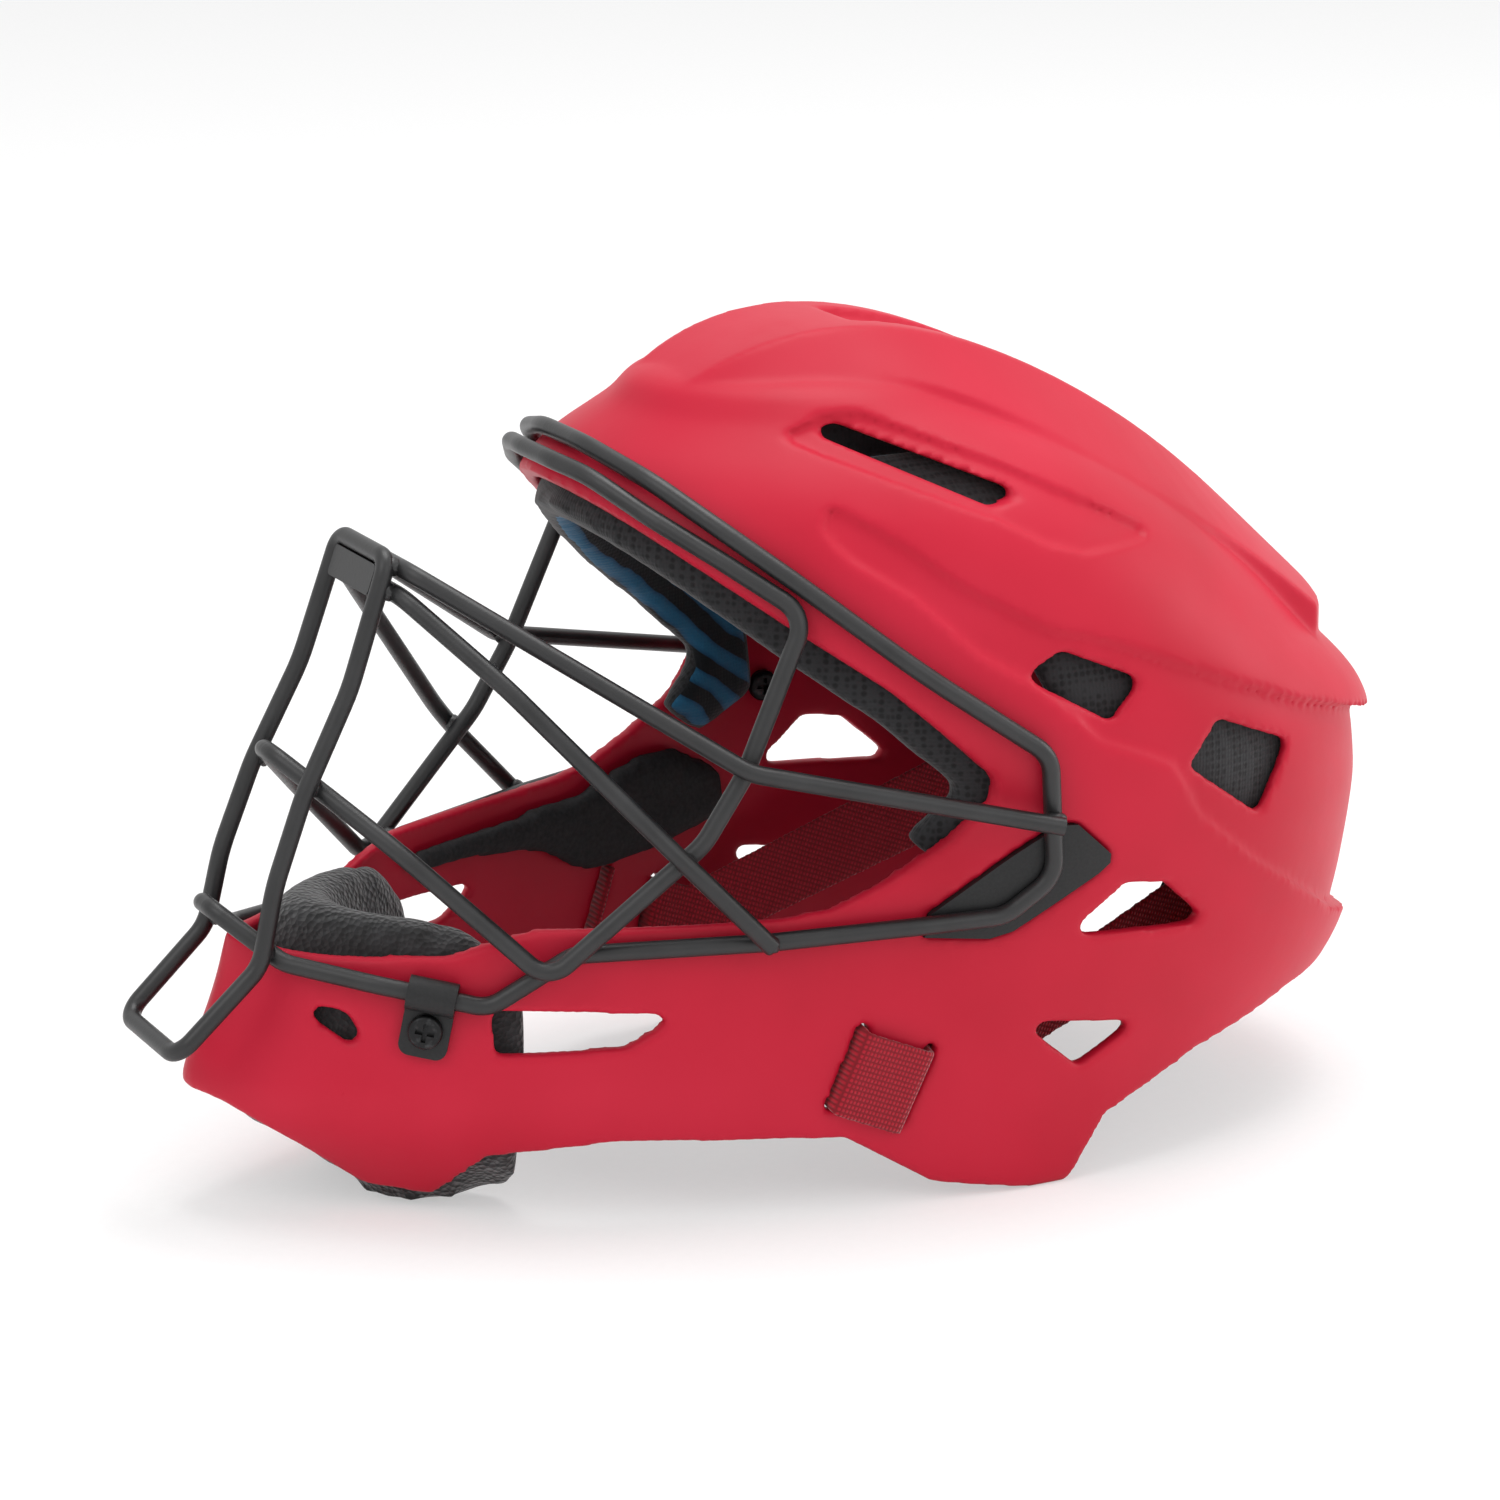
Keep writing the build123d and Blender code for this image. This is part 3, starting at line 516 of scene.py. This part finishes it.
class HELMET_OT_cage(bpy.types.Operator):
    """Coated rods of the cage, their weld beads, clips and screws"""
    bl_idname = "helmet.cage"
    bl_label = "Cage"

    def execute(self, context):
        coat, nylon, steel = powder_coated_steel(), moulded_nylon(), blackened_steel()
        finishes = {"cage": coat, "chin_clip": nylon, "side_retainer": nylon,
                    "chin_clip_screw": steel, "chin_clip_nut": steel, "retainer_screw": steel}
        for name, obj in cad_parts.items():
            stem = max((key for key in finishes if name.startswith(key)), key=len, default=None)
            if stem:
                obj.data.materials.clear()
                obj.data.materials.append(finishes[stem])
                only(obj)
                bpy.ops.object.shade_smooth_by_angle(angle=CREASE)
        beads = []
        for k, ((x, y, z), size) in enumerate(WELDS):
            for side in (1, -1):
                beads.append(bead((side * x, y, z), size, f"bead_{k}_{side}"))
        dress(join(beads, "weld_beads"), coat, HELMET, "wire")
        return {"FINISHED"}


class HELMET_OT_liner(bpy.types.Operator):
    """Cloth-covered and foam pads inside the shell"""
    bl_idname = "helmet.liner"
    bl_label = "Liner"

    def execute(self, context):
        hatch, foam, loops = hatched_cloth(), eva_foam(), looped_cloth()
        pads = [("brow_liner", hatch, HELMET, "liner", 0.5), ("crown_pad", hatch, HELMET, "liner", 0.5),
                ("rear_plate_pad", foam, REAR, "foam", 0.5)]
        for side in ("left", "right"):
            pads.append((f"side_foam_{side}", hatch, HELMET, "liner", 0.5))
            pads.append((f"jaw_pad_{side}", foam, HELMET, "foam", 0.4))
        for node, material, body, slot, fill in pads:
            piece = pad_cover(node, settings().pad_voxel)
            dress(piece, material, body, slot, node)
        cushion = chin_cushion()
        dress(cushion, loops, HELMET, "chin_cloth", "chin_pad")
        return {"FINISHED"}


class HELMET_OT_straps(bpy.types.Operator):
    """Elastic webbing from the shell to the sliding rear plate"""
    bl_idname = "helmet.straps"
    bl_label = "Straps"

    def execute(self, context):
        web = elastic_webbing()
        for node in ("side_strap_left", "side_strap_right", "top_strap"):
            piece = mould(copy_of(node, node + "_webbing"), WEB_VOXEL, SOFT_ROUNDS, WEB_LIMIT)
            dress(piece, web, None, "webbing", node)
            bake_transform(piece)
        return {"FINISHED"}


def studio_air(scene):
    """a plain white world, dimmer on the object than as it is seen"""
    world = bpy.data.worlds.new("studio_air")
    scene.world = world
    world.use_nodes = True
    world.node_tree.nodes.clear()
    rays = add_node(world, "ShaderNodeLightPath").outputs
    seen = add_node(world, "ShaderNodeMath", links={0: rays["Is Camera Ray"], 1: rays["Is Glossy Ray"]},
                    operation="MAXIMUM")
    lit, shown = [add_node(world, "ShaderNodeBackground", {"Color": colour("#FFFFFF"), "Strength": strength})
                  for strength in (AIR_LIGHT, AIR_SEEN)]
    mixed = add_node(world, "ShaderNodeMixShader",
                     links={0: seen.outputs[0], 1: lit.outputs[0], 2: shown.outputs[0]})
    add_node(world, "ShaderNodeOutputWorld", links={"Surface": mixed.outputs[0]})


class HELMET_OT_stage(bpy.types.Operator):
    """Paper sweep, soft lights and the camera"""
    bl_idname = "helmet.stage"
    bl_label = "Stage"

    def execute(self, context):
        scene = context.scene
        bpy.ops.object.select_all(action="DESELECT")
        bpy.ops.mesh.primitive_plane_add(size=FLOOR_SIZE, location=(0, 0, 0))
        floor = context.object
        floor.name = "paper_sweep"
        floor.data.materials.append(paper())
        studio_air(scene)
        for name, spot, size, power in LAMPS:
            bpy.ops.object.light_add(type="AREA", location=spot)
            lamp = context.object
            lamp.name = name
            lamp.data.size, lamp.data.energy = size, power
            aim = Vector(LAMP_TARGET) - Vector(spot)
            lamp.rotation_euler = aim.to_track_quat("-Z", "Y").to_euler()
        toward = Vector(CAMERA_TOWARD).normalized()
        bpy.ops.object.camera_add(location=Vector(CAMERA_TARGET) + toward * settings().distance)
        camera = context.object
        camera.rotation_euler = (-toward).to_track_quat("-Z", "Y").to_euler()
        camera.data.lens = settings().lens
        camera.data.sensor_width = SENSOR_WIDTH
        camera.data.clip_start, camera.data.clip_end = CLIP_NEAR, CLIP_FAR
        scene.camera = camera
        scene.view_settings.view_transform = "Standard"
        return {"FINISHED"}


OPERATORS = (HELMET_OT_shell, HELMET_OT_cage, HELMET_OT_liner, HELMET_OT_straps, HELMET_OT_stage)


class HELMET_PT_panel(bpy.types.Panel):
    """Lists the helmet's pieces and sizes"""
    bl_idname = "HELMET_PT_panel"
    bl_label = "Helmet"
    bl_space_type = "VIEW_3D"
    bl_region_type = "UI"
    bl_category = "Helmet"

    def draw(self, context):
        for name in HelmetSettings.__annotations__:
            self.layout.prop(context.scene.helmet_settings, name)
        for operator in OPERATORS:
            self.layout.operator(operator.bl_idname)


CLASSES = (HelmetSettings,) + OPERATORS + (HELMET_PT_panel,)


def register():
    for cls in CLASSES:
        bpy.utils.register_class(cls)
    bpy.types.Scene.helmet_settings = bpy.props.PointerProperty(type=HelmetSettings)


def unregister():
    del bpy.types.Scene.helmet_settings
    for cls in reversed(CLASSES):
        bpy.utils.unregister_class(cls)


def main():
    register()
    bpy.ops.helmet.stage()
    bpy.ops.helmet.shell()
    bpy.ops.helmet.cage()
    bpy.ops.helmet.liner()
    bpy.ops.helmet.straps()


if __name__ == "__main__":
    main()
